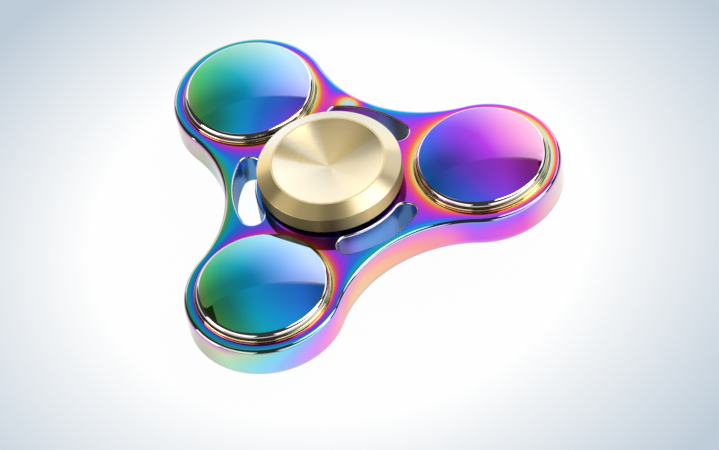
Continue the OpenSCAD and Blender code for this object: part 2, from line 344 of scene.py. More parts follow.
class SpinnerMetals(bpy.types.PropertyGroup):
    """Colours and finishes of the bare metals."""
    gold: colour("Gold", "Turned face of a cap", (1.0, 0.78, 0.36))
    gold_deep: colour("Deep gold", "Lathe lines of a cap", (0.97, 0.73, 0.31))
    # Painted highlight of the spun finish's bright fans
    gold_highlight: colour("Gold highlight", "Bright fans of a cap's dish", (1.0, 0.97, 0.85))
    # Painted shade of the straight band, which its painted highlight fans lighten
    gold_band_shade: colour("Band shade", "Straight band of a cap", (0.20, 0.165, 0.075))
    rim_pale: share("Rim paleness", "How pale a cap's flat rim is", 0.2)
    dish_rough: share("Dish roughness", "Roughness of a cap's dish and rim", 0.29)
    bevel_rough: share("Bevel roughness", "Roughness of a cap's bevel", 0.38)
    band_rough: share("Band roughness", "Roughness of a cap's straight band", 0.55)
    line_gloss: share("Line gloss", "Roughness lost on the crests of the lathe lines", 0.04)
    spun: share("Spun", "How far the lathe lines draw out the mirrored light", 0.95)
    bearing: colour("Bearing steel", "Ground rings", (0.54, 0.56, 0.60))
    ball: colour("Ball steel", "Lapped balls", (0.66, 0.67, 0.69))
    cage: colour("Cage", "Pressed brass cage", (0.52, 0.38, 0.16))
    shield: colour("Shield", "Pressed shields", (0.40, 0.41, 0.43))
    wire: colour("Wire", "Spring wire", (0.20, 0.20, 0.22))
    stud: colour("Stud", "Blackened studs", (0.10, 0.10, 0.11))


class SpinnerStudio(bpy.types.PropertyGroup):
    """Camera, floor and room."""
    lens: share("Lens", "Focal length in millimetres", 207.48)
    eye: point("Camera", "Where the camera stands", (-0.17361, -0.36279, 0.44951))
    right: direction("Right", "Direction to the picture's right", (0.82483, -0.55268, -0.11917))
    ahead: direction("Ahead", "Direction in which the camera looks", (0.28910, 0.59343, -0.75118))
    # The floor's colour goes from white round the spinner to blue-grey away from it: a painted pool
    # of light
    floor: colour("Floor", "Floor under the spinner", (1.0, 1.0, 1.0))
    floor_far: colour("Far floor", "Floor away from the spinner", (0.52, 0.61, 0.70))
    floor_w: length("Floor width", "Side of the square floor", 3.0)
    pool_from: length("Pool start", "Radius at which the bright floor starts to fade", 37 * MM)
    pool_to: length("Pool end", "Radius at which it has faded", 68 * MM)
    floor_glow: share("Floor glow", "How evenly lit the floor looks to the camera", 0.97)
    under_glow: share("Under glow", "Light of the floor under the spinner, as it is mirrored", 0.45)
    under_from: length("Under start", "Radius at which that light starts to rise", 14 * MM)
    under_to: length("Under end", "Radius at which that light is full", 22 * MM)
    floor_rough: share("Floor roughness", "Roughness of the floor", 0.7)
    room: share("Room", "Light of the bare room", 0.04)
    segments: IntProperty(name="Segments", description="Steps around a turned piece", default=192)


# Thickness of the film at which each colour of the rainbow is purest
FILM_STOPS = {
    "silver": 0.0, "straw": 0.06, "yellow": 0.13, "orange": 0.21, "red": 0.28, "magenta": 0.37,
    "purple": 0.46, "violet": 0.53, "indigo": 0.59, "blue": 0.65, "azure": 0.71, "teal": 0.77,
    "sea": 0.84, "green": 0.90, "olive": 0.99, "rose": 1.10, "orchid": 1.25,
}
FILM_END = 1.5

# Painted highlight fans of the spun finish: how pale a cap's dish, bevel and band are at each angle
# from the sweep, in degrees
DISH_FANS = {
    0: 0.5, 28: 0.4, 35: 0.08, 42: 0.0, 52: 0.0, 62: 0.1, 76: 0.14, 98: 0.1, 106: 0.45, 125: 0.4,
    146: 0.6, 153: 0.2, 164: 0.2, 172: 0.8, 250: 0.78, 300: 0.62, 360: 0.5,
}
BEVEL_FANS = {
    0: 0.45, 20: 0.6, 45: 0.9, 150: 0.9, 165: 0.35, 180: 0.05, 240: 0.0, 285: 0.1, 300: 0.5,
    320: 0.5, 335: 0.3, 360: 0.45,
}
BAND_FANS = {
    0: 0.35, 200: 0.0, 235: 0.0, 260: 0.2, 285: 0.45, 303: 1.0, 318: 0.7, 340: 0.5, 360: 0.35,
}

# Colour, smooth and marked roughness of each bearing metal, and whether a lathe has ringed it
STEELS = {
    "bearing_steel": ("bearing", 0.10, 0.22, True),
    "ball_steel": ("ball", 0.03, 0.08, False),
    "cage_steel": ("cage", 0.22, 0.35, False),
    "shield_steel": ("shield", 0.25, 0.40, True),
    "wire_steel": ("wire", 0.25, 0.40, False),
    "stud_steel": ("stud", 0.30, 0.45, True),
}


def settings(name):
    """One property group of the open scene."""
    return getattr(bpy.context.scene, "spinner_" + name)


def across_sweep():
    """Level direction at right angles to the film's sweep."""
    sweep = settings("film").sweep
    return (-sweep[1], sweep[0], 0)


# Points nearer than this are one, in metres and in decimal places
TOUCHING = 1e-9
PLACES = 9


class Skin:
    """Gathers points and faces, with the exact normal of every face corner."""

    def __init__(self):
        self.points = []
        self.faces = []
        self.normals = []

    def ring(self, points):
        """Adds a closed ring of points, or one point where they all meet."""
        first = len(self.points)
        if all((Vector(p) - Vector(points[0])).length < TOUCHING for p in points):
            self.points.append(tuple(points[0]))
            return [first] * len(points)
        self.points.extend(tuple(p) for p in points)
        return list(range(first, first + len(points)))

    def face(self, corners, normals):
        """Adds one face, wound so that it looks along its normals."""
        kept = [i for i, c in enumerate(corners) if c not in corners[:i]]
        if len(kept) < 3:
            return
        p = [Vector(self.points[corners[i]]) for i in kept]
        looks = sum(((p[i] - p[0]).cross(p[i + 1] - p[0]) for i in range(1, len(p) - 1)), Vector())
        if looks.dot(sum((Vector(normals[i]) for i in kept), Vector())) < 0:
            kept.reverse()
        self.faces.append([corners[i] for i in kept])
        self.normals.extend(tuple(normals[i]) for i in kept)

    def sweep(self, path, profile):
        """Carries a profile of (offset, height, tilt) round a path of (point, outward normal).

        The tilt is the surface normal's angle from straight up, towards the path's normal.
        A repeated place with another tilt makes a hard corner.
        """
        rings = []
        before = None
        for offset, z, tilt in profile:
            place = (round(offset, PLACES), round(z, PLACES))
            if before is None or before[0] != place:
                ring = self.ring([(p.x + n.x * offset, p.y + n.y * offset, z) for p, n in path])
            else:
                ring = before[1]
            s, c = math.sin(tilt), math.cos(tilt)
            normals = [(n.x * s, n.y * s, c) for p, n in path]
            if before is not None and before[1] is not ring:
                for i in range(len(path)):
                    j = (i + 1) % len(path)
                    self.face([before[1][i], before[1][j], ring[j], ring[i]],
                              [before[2][i], before[2][j], normals[j], normals[i]])
            rings.append(ring)
            before = (place, ring, normals)
        return rings[0], rings[-1]

    def fill(self, rings, normal):
        """Closes a flat area between an outer ring and the rings of its holes."""
        flat = [i for ring in rings for i in ring]
        for corners in tessellate_polygon([[self.points[i] for i in ring] for ring in rings]):
            self.face([flat[i] for i in corners], [normal] * 3)

    def make(self, name, flip=False):
        """Makes the object, turned upside down about the X axis where asked."""
        mesh = bpy.data.meshes.new(name)
        mesh.from_pydata(self.points, [], self.faces)
        mesh.polygons.foreach_set("use_smooth", [True] * len(mesh.polygons))
        mesh.normals_split_custom_set(self.normals)
        if flip:
            mesh.transform(Matrix.Rotation(math.pi, 4, "X"))
        mesh.update()
        made = bpy.data.objects.new(name, mesh)
        bpy.context.collection.objects.link(made)
        return made


def polar(radius, turn):
    """Point at a radius and an angle about the spin axis."""
    return Vector((radius * math.cos(turn), radius * math.sin(turn)))


def arc(centre, radius, start, end, steps, inward=False):
    """Points of an arc without its last one, each with its normal."""
    for i in range(steps):
        out = polar(1, start + (end - start) * i / steps)
        yield centre + out * radius, -out if inward else out


def turning(centre, steps):
    """Path that turns a profile about an upright axis."""
    return [(centre, polar(1, FULL_TURN * i / steps)) for i in range(steps)]


def bend(offset, z, radius, start, end, steps):
    """Profile of a rounding about a centre; a hollow one has a negative radius."""
    for i in range(steps + 1):
        tilt = start + (end - start) * i / steps
        yield offset + radius * math.sin(tilt), z + radius * math.cos(tilt), tilt


def corner(offset, z, before, after):
    """Profile of a hard corner, with the tilts of the faces before and after it."""
    return [(offset, z, before), (offset, z, after)]


def mirrored(profile):
    """The same profile below the mid-plane, in reverse order."""
    return [(offset, -z, math.pi - tilt) for offset, z, tilt in reversed(profile)]


class Wires:
    """Short words for wiring one node tree."""

    def __init__(self, tree):
        self.tree = tree

    def node(self, kind, inputs=(), **values):
        """Adds a node, sets its values and feeds its inputs by name or number."""
        made = self.tree.nodes.new(kind)
        for key, value in values.items():
            setattr(made, key, value)
        for key, value in dict(inputs).items():
            self.feed(value, made.inputs[key])
        return made

    def feed(self, value, socket):
        """Links a socket, or sets a plain value."""
        if isinstance(value, bpy.types.NodeSocket):
            self.tree.links.new(value, socket)
        else:
            socket.default_value = value

    def math(self, operation, *values):
        """Result of a Math node."""
        return self.node("ShaderNodeMath", enumerate(values), operation=operation).outputs[0]

    def chain(self, operation, first, *others):
        """Result of one Math operation carried through several values."""
        for value in others:
            first = self.math(operation, first, value)
        return first

    def times(self, *values):
        """Product of several values."""
        return self.chain("MULTIPLY", *values)

    def most(self, *values):
        """Largest of several values."""
        return self.chain("MAXIMUM", *values)

    def least(self, *values):
        """Smallest of several values."""
        return self.chain("MINIMUM", *values)

    def less(self, value, other):
        """A value less another."""
        return self.math("SUBTRACT", value, other)

    def over(self, value, other):
        """A value divided by another."""
        return self.math("DIVIDE", value, other)

    def total(self, base, *parts):
        """A base with values added to it, each times its factor."""
        for value, factor in parts:
            base = self.math("MULTIPLY_ADD", value, factor, base)
        return base

    def squared(self, value):
        """A value times itself."""
        return self.times(value, value)

    def rest(self, value):
        """What a share leaves of 1."""
        return self.less(1.0, value)

    def fading(self, distance, reach):
        """Share that fades from 1 with the distance, mostly within a reach."""
        return self.math("EXPONENT", self.over(distance, -reach))

    def vector(self, operation, *values):
        """Result of a Vector Math node, a number where the operation gives one."""
        made = self.node("ShaderNodeVectorMath", enumerate(values), operation=operation)
        number = operation in ("DOT_PRODUCT", "LENGTH", "DISTANCE")
        return made.outputs["Value" if number else "Vector"]

    def along(self, value, way):
        """How far a vector goes in a fixed direction."""
        return self.vector("DOT_PRODUCT", value, tuple(way))

    def nearest(self, place, points):
        """Distance to the nearest of some level points."""
        return self.least(*(self.vector("DISTANCE", place, (*p, 0)) for p in points))

    def upward(self, value):
        """The Z part of a vector."""
        return self.node("ShaderNodeSeparateXYZ", {0: value}).outputs["Z"]

    def span(self, value, low, high, to_low=0.0, to_high=1.0, shape="SMOOTHSTEP"):
        """Carries a value from one range to another, stopped at its ends."""
        return self.node("ShaderNodeMapRange", {
            "Value": value, "From Min": low, "From Max": high, "To Min": to_low, "To Max": to_high,
        }, interpolation_type=shape).outputs[0]

    def mix(self, factor, low, high):
        """Number between two numbers."""
        return self.node("ShaderNodeMix", {0: factor, 2: low, 3: high}).outputs[0]

    def blend(self, factor, low, high):
        """Colour between two colours."""
        return self.node("ShaderNodeMix", {0: factor, 6: low, 7: high}, data_type="RGBA").outputs[2]

    def ramp(self, value, places, paints):
        """Colour that goes through the paints at their places, from 0 to 1."""
        made = self.node("ShaderNodeValToRGB", {"Fac": value})
        stops = made.color_ramp.elements
        while len(stops) < len(places):
            stops.new(0.5)
        for stop, place in zip(stops, places):
            stop.position = place
        for stop, paint in zip(stops, paints):
            stop.color = rgba(paint)
        return made.outputs["Color"]

    def noise(self, position, scale, detail):
        """Noise from 0 to 1."""
        return self.node("ShaderNodeTexNoise", {"Vector": position, "Scale": scale,
                                                "Detail": detail}).outputs["Fac"]

    def streaks(self, travel, scale, detail):
        """Noise that changes along one length only."""
        line = self.node("ShaderNodeCombineXYZ", {"X": self.times(travel, scale)})
        return self.noise(line.outputs[0], 1.0, detail)


def rgba(values):
    """A colour with full alpha."""
    return (*values, 1.0)


def new_group(name, inputs, outputs):
    """Empty shader group with named sockets, as its wires, its inputs and its output node."""
    tree = bpy.data.node_groups.new(name, "ShaderNodeTree")
    for key, (kind, default) in inputs.items():
        socket = tree.interface.new_socket(key, in_out="INPUT", socket_type="NodeSocket" + kind)
        if default is not None:
            socket.default_value = default
    for key, kind in outputs.items():
        tree.interface.new_socket(key, in_out="OUTPUT", socket_type="NodeSocket" + kind)
    wires = Wires(tree)
    return wires, wires.node("NodeGroupInput").outputs, wires.node("NodeGroupOutput").inputs


def placed_group(wires, name, build, **inputs):
    """Places a group that several materials use, which is built the first time, as its outputs."""
    tree = bpy.data.node_groups.get(name) or build(name)
    return wires.node("ShaderNodeGroup", inputs, node_tree=tree).outputs


def film_colour_group(name):
    """Group that turns the film's thickness into its colour."""
    rainbow = settings("rainbow")
    wires, given, put = new_group(name, {"Film": ("Float", 0.5), "Paleness": ("Float", 0.0)},
                                  {"Colour": "Color"})
    tint = wires.ramp(wires.over(given["Film"], FILM_END),
                      [thickness / FILM_END for thickness in FILM_STOPS.values()],
                      [getattr(rainbow, stop) for stop in FILM_STOPS])
    wires.feed(wires.blend(given["Paleness"], tint, WHITE), put["Colour"])
    return wires.tree


# Marks of handling: how many to a metre, how fine their noise is and which part of it shows
SMEARS = 90
SMEAR_DETAIL = 4
SMEAR_RANGE = (0.42, 0.75)
HAIRS = 1500
HAIR_BEND = 7
HAIR_DETAIL = 3
HAIR_DETAIL_SCALE = 0.6
HAIR_RANGE = (0.97, 1.0)
HAIR_DEPTH = 0.2
PEEL = 260
PEEL_DETAIL = 1


def handling_group(name):
    """Group of faint smears and hairlines that a handled polished metal picks up."""
    wires, given, put = new_group(
        name, {"Position": ("Vector", None), "Smooth": ("Float", 0.05), "Smeared": ("Float", 0.1)},
        {"Roughness": "Float", "Height": "Float"})
    smear = wires.span(wires.noise(given["Position"], SMEARS, SMEAR_DETAIL), *SMEAR_RANGE)
    hairs = wires.node("ShaderNodeTexWave", {
        "Vector": given["Position"], "Scale": HAIRS, "Distortion": HAIR_BEND,
        "Detail": HAIR_DETAIL, "Detail Scale": HAIR_DETAIL_SCALE,
    }, wave_type="BANDS", bands_direction="DIAGONAL").outputs["Fac"]
    hair = wires.times(wires.span(hairs, *HAIR_RANGE), smear)
    marked = wires.most(smear, hair)
    wires.feed(wires.mix(marked, given["Smooth"], given["Smeared"]), put["Roughness"])
    peel = wires.noise(given["Position"], PEEL, PEEL_DETAIL)
    wires.feed(wires.total(peel, (hair, -HAIR_DEPTH)), put["Height"])
    return wires.tree


# Rings of a lathe's feed to a metre: the fine ones in the relief, the coarse ones in the colour
FINE_RINGS = 9000.0
FINE_DETAIL = 3
COARSE_RINGS = 1600
COARSE_DETAIL = 2
COARSE_SHARE = 0.5


def lathe_group(name):
    """Group of fine rings that a cutting tool leaves around the spin axis."""
    wires, given, put = new_group(
        name, {"Position": ("Vector", None), "Rings": ("Float", FINE_RINGS)},
        {"Height": "Float", "Shade": "Float"})
    radius = wires.vector("LENGTH", wires.vector("MULTIPLY", given["Position"], LEVEL))
    travel = wires.math("ADD", radius, wires.upward(given["Position"]))
    fine = wires.streaks(travel, given["Rings"], FINE_DETAIL)
    coarse = wires.streaks(travel, COARSE_RINGS, COARSE_DETAIL)
    wires.feed(fine, put["Height"])
    wires.feed(wires.mix(COARSE_SHARE, fine, coarse), put["Shade"])
    return wires.tree


def new_metal(name):
    """Metal material with its wires, its shader's inputs and the object's own coordinates."""
    material = bpy.data.materials.new(name)
    material.use_nodes = True
    wires = Wires(material.node_tree)
    shader = material.node_tree.nodes["Principled BSDF"]
    shader.inputs["Metallic"].default_value = 1.0
    where = wires.node("ShaderNodeTexCoord").outputs
    return material, wires, shader.inputs, where


def film_colour(wires, thickness, paleness=0.0):
    """Colour of a film of the given thickness."""
    return placed_group(wires, "Film colour", film_colour_group,
                        Film=thickness, Paleness=paleness)["Colour"]


def lathe_rings(wires, where):
    """Height and shade of the lathe's rings."""
    return placed_group(wires, "Lathe rings", lathe_group, Position=where["Object"])


def relief(wires, shader, height, strength, depth):
    """Feeds fine relief into a shader's normal."""
    bump = wires.node("ShaderNodeBump", {"Strength": strength, "Distance": depth, "Height": height})
    wires.feed(bump.outputs[0], shader["Normal"])


# Relief of the polished and of the turned metals
PEEL_STRENGTH = 0.3
PLATE_PEEL = 0.004 * MM
FINE_PEEL = 0.003 * MM
RING_STRENGTH = 0.05
RING_DEPTH = 0.002 * MM


def polish(wires, shader, where, smooth, smeared, depth):
    """Feeds a mirror finish with handling marks."""
    marks = placed_group(wires, "Handling marks", handling_group,
                         Position=where["Object"], Smooth=smooth, Smeared=smeared)
    wires.feed(marks["Roughness"], shader["Roughness"])
    relief(wires, shader, marks["Height"], PEEL_STRENGTH, depth)


def coat(wires, shader, weight):
    """Clear hard film over the plating."""
    film = settings("film")
    wires.feed(weight, shader["Coat Weight"])
    shader["Coat Roughness"].default_value = film.coat_rough
    shader["Coat IOR"].default_value = film.coat_ior


# Roughness of the smooth and of the smeared places
PLATE_FINISH = (0.06, 0.10)
SLOT_FINISH = (0.25, 0.30)
DOME_FINISH = (0.03, 0.05)

# The ranges below say where one look of the body goes over into the next.
# Distances from a boss's wall, outwards
BOSS_FOOT = (-0.02 * MM, 0.15 * MM)
BOSS_TOP = (0.02 * MM, -0.02 * MM)
BOSS_CORNER = (0.0, -0.02 * MM)
BEYOND_BOSS = (0.4 * MM, 0.8 * MM)
# Upward part of the normal, 1 on a flat face and 0 on a wall
WALL_FACING = (0.9, 0.3)
RUB_FROM = (0.99, 0.93)
RUB_TO = (0.1, 0.4)
CORNER_FACING = (0.7, 0.85)
ROSE_FACING = (0.98, 0.85)
# Part of the normal along the sweep
BACK_SHADE_TURN = (-0.4, -0.9)
ROSE_TURN = (-0.15, -0.5)
# Distances along the sweep from the spin axis
WALL_PALING = (-22 * MM, 16 * MM)
WALL_GAMMA = (-5 * MM, 18 * MM)
WALL_END_FILM = (22 * MM, 31 * MM)
WALL_BARE = (27 * MM, 33.5 * MM)
NEAR_SLOT = (1.5 * MM, 5.5 * MM)
FAR_SLOT = (2 * MM, 8.5 * MM)
FAR_SHADE = (7 * MM, 9.6 * MM)
# Distances across the sweep, towards the thick side, past the slots and above the mid-plane
FAR_SIDE = (2 * MM, 10 * MM)
THICK_SIDE = (0.0, 10 * MM)
PAST_SLOTS = (0.1 * MM, 0.5 * MM)
ROSE_HEIGHT = (0.8 * MM, 2.1 * MM)
# Shares: of a boss's radius on its thin side, of the slot's span, of the lobe's pitch
THIN_SIDE = (0.2, 0.7)
SLOT_ENDS = (0.58, 0.3)
OWN_LOBE = 0.86
# Cosine of the angle at a lobe between the spin axis and a point, from the waist's side on
WAIST_SIDE = (-0.35, -0.1)


def thin_side(wires, flat):
    """How far a point lies on its lobe's thin side, along the sweep or towards the hub.

    It is given as a share of the boss's radius.
    """
    film, body = settings("film"), settings("body")
    sides = []
    for turn in LOBES.values():
        offset = wires.vector("SUBTRACT", flat, (*polar(body.pitch, turn), 0))
        own = wires.math("LESS_THAN", wires.vector("LENGTH", offset), body.pitch * OWN_LOBE)
        inward = wires.along(offset, (*polar(-film.hub_side, turn), 0))
        side = wires.most(wires.along(offset, film.sweep), inward, 0.0)
        sides.append(wires.times(own, side))
    return wires.over(wires.most(*sides), body.boss_r)


def body_places(wires, where):
    """Where a point of the body lies and how it faces, for the plating."""
    film, body = settings("film"), settings("body")
    place, normal = where["Object"], where["Normal"]
    flat = wires.vector("MULTIPLY", place, LEVEL)
    lobe = wires.nearest(flat, [polar(body.pitch, turn) for turn in LOBES.values()])
    return SimpleNamespace(
        flat=flat,
        reach=wires.vector("LENGTH", flat),
        lobe=lobe,
        away=wires.less(lobe, body.boss_r),
        thin=thin_side(wires, flat),
        height=wires.upward(place),
        sweep=wires.along(place, film.sweep),
        across=wires.along(place, across_sweep()),
        to_thick=wires.along(place, film.thick),
        turn=wires.along(normal, film.sweep),
        up=wires.math("ABSOLUTE", wires.upward(normal)),
    )


def mark_surfaces(wires, at):
    """Adds which of the body's surfaces a point lies on, each as a share from 0 to 1."""
    body, walls, slots = settings("body"), settings("walls"), settings("slots")
    at.thinned = wires.span(at.thin, *THIN_SIDE)
    at.beyond_boss = wires.span(at.away, *BEYOND_BOSS)
    at.on_wall = wires.times(wires.span(at.up, *WALL_FACING), at.beyond_boss)
    at.on_lobe = wires.fading(wires.less(at.away, body.lobe_r - body.boss_r),
                              walls.waist_length)
    at.inside = wires.span(at.reach, *(body.slot_out_r + past for past in PAST_SLOTS), 1.0, 0.0)
    at.outside = wires.rest(at.inside)
    at.in_slot = wires.times(at.inside, at.on_wall)
    at.far = wires.span(at.across, *FAR_SIDE)
    at.thick_slot = wires.span(at.to_thick, *THICK_SIDE)
    ahead = wires.most(*(wires.along(at.flat, (*polar(1, turn), 0)) for turn in WAISTS))
    at.slot_end = wires.span(wires.over(ahead, at.reach),
                             *(math.cos(body.slot_span * part) for part in SLOT_ENDS), 1.0, 0.0)
    at.rubbed = wires.times(wires.span(at.up, *RUB_FROM), wires.span(at.up, *RUB_TO),
                            at.beyond_boss)
    at.edge_pale = wires.mix(at.inside, walls.edge_pale, slots.edge_pale)


def edge_distance(wires, at):
    """Distance to the outer edge: to a lobe's rim, or to a waist for points that face the axis."""
    body = settings("body")
    waist_r, waist_pitch = waist(body)
    hollow = wires.nearest(at.flat, [polar(waist_pitch, turn) for turn in WAISTS])
    facing = wires.less(wires.squared(at.reach),
                        wires.math("ADD", wires.squared(at.lobe), body.pitch ** 2))
    facing = wires.over(facing, wires.times(at.lobe, 2 * body.pitch))
    edge = wires.mix(wires.span(facing, *WAIST_SIDE), wires.less(hollow, waist_r),
                     wires.less(body.lobe_r, at.lobe))
    return wires.most(wires.less(edge, body.edge_r), 0.0)


def face_film(wires, at):
    """Film on the flat faces and the bosses."""
    film = settings("film")
    ring = wires.times(wires.fading(at.away, film.ring_length), at.thin)
    beyond = wires.most(wires.less(at.across, film.far_from), 0.0)
    spot = wires.over(wires.vector("DISTANCE", at.flat, tuple(film.spot)), film.spot_r)
    face = wires.total(
        film.face_mid,
        (wires.rest(wires.fading(at.away, film.rise_length)), film.face_rise),
        (at.to_thick, film.face_slope),
        (wires.fading(edge_distance(wires, at), film.edge_length), film.edge_film),
        (ring, -film.ring_film),
        (beyond, film.far_film),
        (wires.fading(wires.squared(spot), 1.0), -film.spot_film))
    boss = wires.mix(at.thinned, film.boss_film, film.boss_thin_film)
    return wires.mix(wires.span(at.away, *BOSS_FOOT), boss, face)


def face_colour(wires, at):
    """Colour of the flat faces and the bosses."""
    film, rainbow = settings("film"), settings("rainbow")
    pale = wires.mix(at.rubbed, wires.span(at.away, *BOSS_TOP, 0.0, film.boss_pale), at.edge_pale)
    paint = film_colour(wires, face_film(wires, at), pale)
    # Painted shade lies in the corner between a boss and its dome, but for the thin side
    in_corner = wires.times(wires.span(at.away, *BOSS_CORNER), wires.span(at.up, *CORNER_FACING))
    corner_shade = wires.blend(at.thinned, rgba(rainbow.joint), rgba(rainbow.straw))
    return wires.blend(in_corner, paint, corner_shade)


def wall_film(wires, at):
    """Film on the side walls."""
    walls = settings("walls")
    grown = wires.total(
        walls.mid - walls.waist,
        (at.turn, -walls.turn),
        (wires.squared(at.turn), -walls.turn_bow),
        (at.sweep, -walls.sweep),
        (wires.squared(at.sweep), walls.sweep_bow),
        (at.on_lobe, walls.waist),
        (at.height, walls.rise),
        (wires.squared(at.height), walls.bow))
    return wires.math("ADD", grown, wires.span(at.sweep, *WALL_END_FILM, 0.0, walls.end_film))


def slot_film(wires, at):
    """Film on the slots' walls."""
    slots = settings("slots")
    near = wires.span(at.sweep, *NEAR_SLOT, slots.near_start, slots.near_end)
    far = wires.span(at.sweep, *FAR_SLOT, slots.far_start, slots.far_end)
    thick = wires.mix(at.slot_end, slots.thick, slots.thick_end)
    return wires.mix(at.thick_slot, wires.mix(at.far, near, far), thick)


def wall_colour(wires, at):
    """Colour of the side walls and of the slots' walls."""
    walls, slots = settings("walls"), settings("slots")
    # The thick side's slot keeps its full colour but for its ends; the gamma lifts the slots' walls
    # as painted light but darkens the thick side's slot as painted shade
    deep = wires.times(at.thick_slot, wires.rest(at.slot_end))
    gamma = wires.mix(at.inside, wires.span(at.sweep, *WALL_GAMMA, walls.gamma, walls.end_gamma),
                      wires.mix(deep, slots.gamma, slots.thick_gamma))
    tint = film_colour(wires, wires.mix(at.inside, wall_film(wires, at), slot_film(wires, at)))
    paint = wires.node("ShaderNodeGamma", {"Color": tint, "Gamma": gamma}).outputs[0]
    # Wall paleness is partly the film's pastel colour and partly painted light
    pale = wires.math("ADD", wires.span(at.sweep, *WALL_PALING, walls.pale, 0.0),
                      wires.mix(at.on_lobe, walls.waist_pale, 0.0))
    pale = wires.mix(at.inside, pale, wires.mix(deep, slots.pale, 0.0))
    paint = wires.blend(wires.mix(at.rubbed, pale, at.edge_pale), paint, WHITE)
    bare = wires.span(at.sweep, *WALL_BARE, 0.0, walls.end_pale)
    paint = wires.blend(wires.times(bare, at.outside), paint, rgba(walls.bare))
    # Painted reflection: the foot of the outer walls goes over into a greyish band
    foot = wires.span(at.height, -walls.foot_from, -walls.foot_to, 0.0, walls.foot_reflection_share)
    paint = wires.blend(wires.times(foot, at.outside), paint, rgba(walls.foot))
    # Painted shade on the outer side walls that face back along the sweep
    back_shade = wires.times(wires.span(at.turn, *BACK_SHADE_TURN), wires.mix(at.inside, walls.back_shade, 0.0))
    return wires.blend(back_shade, paint, BLACK)


def edge_rose(wires, at):
    """Share of rose on the upper edges that face back along the sweep."""
    return wires.times(
        wires.span(at.turn, *ROSE_TURN), wires.span(at.height, *ROSE_HEIGHT), at.outside,
        at.beyond_boss, wires.span(at.up, *ROSE_FACING, 0.0, settings("walls").rose_share))


def slot_shade(wires, at):
    """Share of light lost in the slots, towards the far slot's end and at the near slots' ends."""
    slots = settings("slots")
    far_light = wires.span(at.sweep, *FAR_SHADE, slots.far_light, slots.far_end_light)
    ends = wires.times(at.slot_end, wires.rest(at.thick_slot))
    light = wires.times(wires.mix(at.far, 1.0, far_light), wires.mix(ends, 1.0, slots.end_light))
    return wires.times(at.in_slot, wires.rest(light))


def plate_material():
    """Rainbow plating of the body: the film grows away from the bosses and towards the edges."""
    material, wires, shader, where = new_metal("rainbow_plate")
    at = body_places(wires, where)
    mark_surfaces(wires, at)
    paint = wires.blend(at.on_wall, face_colour(wires, at), wall_colour(wires, at))
    paint = wires.blend(edge_rose(wires, at), paint, rgba(settings("walls").rose))
    paint = wires.blend(slot_shade(wires, at), paint, BLACK)
    wires.feed(paint, shader["Base Color"])
    finish = [wires.mix(at.in_slot, *rough) for rough in zip(PLATE_FINISH, SLOT_FINISH)]
    polish(wires, shader, where, *finish, PLATE_PEEL)
    coat(wires, shader, wires.mix(at.in_slot, settings("film").coat, 0.0))
    return material


# Angles past the crown at which a dome's rounded edge starts and is full
BEAD_START = (0.02, 0.12)
# Upward part of the normal where the crease shade is painted, and parts of the normal along the
# sweep
CREASE_SHADE_FACING = (0.32, 0.22)
SHADE_TURN = (0.1, -0.12)
BEAD_ROSE_TURN = (-0.1, -0.5)


def over_lobes(wires, centre, values):
    """Plane through one value at each lobe, read at a dome's centre."""
    slope = sum((polar(value, turn) for value, turn in zip(values, LOBES.values())), Vector((0, 0)))
    slope *= 2 / (len(LOBES) * settings("body").pitch)
    return wires.math("ADD", wires.along(centre, (*slope, 0)), sum(values) / len(LOBES))


def crown_film(wires, centre, turn, lean):
    """Film on the domes' crowns and the painted glare over it, from the tilts along and across the
    sweep.
    """
    crowns = settings("crowns")
    tilts = {"turn": turn, "lean": lean, "twist": wires.times(turn, lean),
             "turn_bow": wires.squared(turn), "lean_bow": wires.squared(lean)}
    film = over_lobes(wires, centre, crowns.film)
    pale = over_lobes(wires, centre, crowns.glare)
    for key, tilt in tilts.items():
        film = wires.total(film, (over_lobes(wires, centre, getattr(crowns, key)), tilt))
        pale = wires.total(pale, (tilt, getattr(crowns, "glare_" + key)))
    pale = wires.least(wires.most(pale, 0.0), crowns.glare_most)
    # Painted glare: paler above the line where the back panel's upper edge is mirrored
    line = wires.total(lean, (wires.along(centre, across_sweep()), crowns.glare_shift))
    above = wires.span(line, crowns.glare_line, crowns.glare_line + crowns.glare_edge)
    return film, wires.times(pale, above)


def dome_material(crown_r, crown_tilt):
    """Rainbow plating of the domes: the film thins as the surface tilts along the sweep, under
    painted glare and painted shade.
    """
    crowns, rainbow = settings("crowns"), settings("rainbow")
    material, wires, shader, where = new_metal("rainbow_dome")
    normal = where["Normal"]
    centre = wires.vector("SUBTRACT", where["Object"],
                          wires.vector("MULTIPLY", normal, (crown_r, crown_r, crown_r)))
    turn = wires.along(normal, settings("film").sweep)
    up = wires.math("ABSOLUTE", wires.upward(normal))
    on_bead = wires.span(up, *(math.cos(crown_tilt + past) for past in BEAD_START))
    film, pale = crown_film(wires, centre, turn, wires.along(normal, across_sweep()))
    # The crown's paleness is painted glare
    paint = film_colour(wires, wires.mix(on_bead, film, crowns.bead_film),
                        wires.mix(on_bead, pale, crowns.bead_pale))
    shade = wires.times(wires.rest(over_lobes(wires, centre, crowns.shade)),
                        wires.span(turn, *SHADE_TURN))
    paint = wires.blend(wires.mix(on_bead, shade, 0.0), paint, BLACK)
    rosy = wires.times(on_bead, wires.span(turn, *BEAD_ROSE_TURN, 0.0, crowns.bead_rose))
    paint = wires.blend(rosy, paint, rgba(settings("walls").rose))
    # Painted shade: the bead's lower part stands in the shadow where the dome meets its boss
    joint = wires.blend(wires.span(turn, *THIN_SIDE), rgba(rainbow.joint), rgba(rainbow.straw))
    paint = wires.blend(wires.span(up, *CREASE_SHADE_FACING), paint, joint)
    wires.feed(paint, shader["Base Color"])
    polish(wires, shader, where, *DOME_FINISH, FINE_PEEL)
    coat(wires, shader, settings("film").coat)
    return material


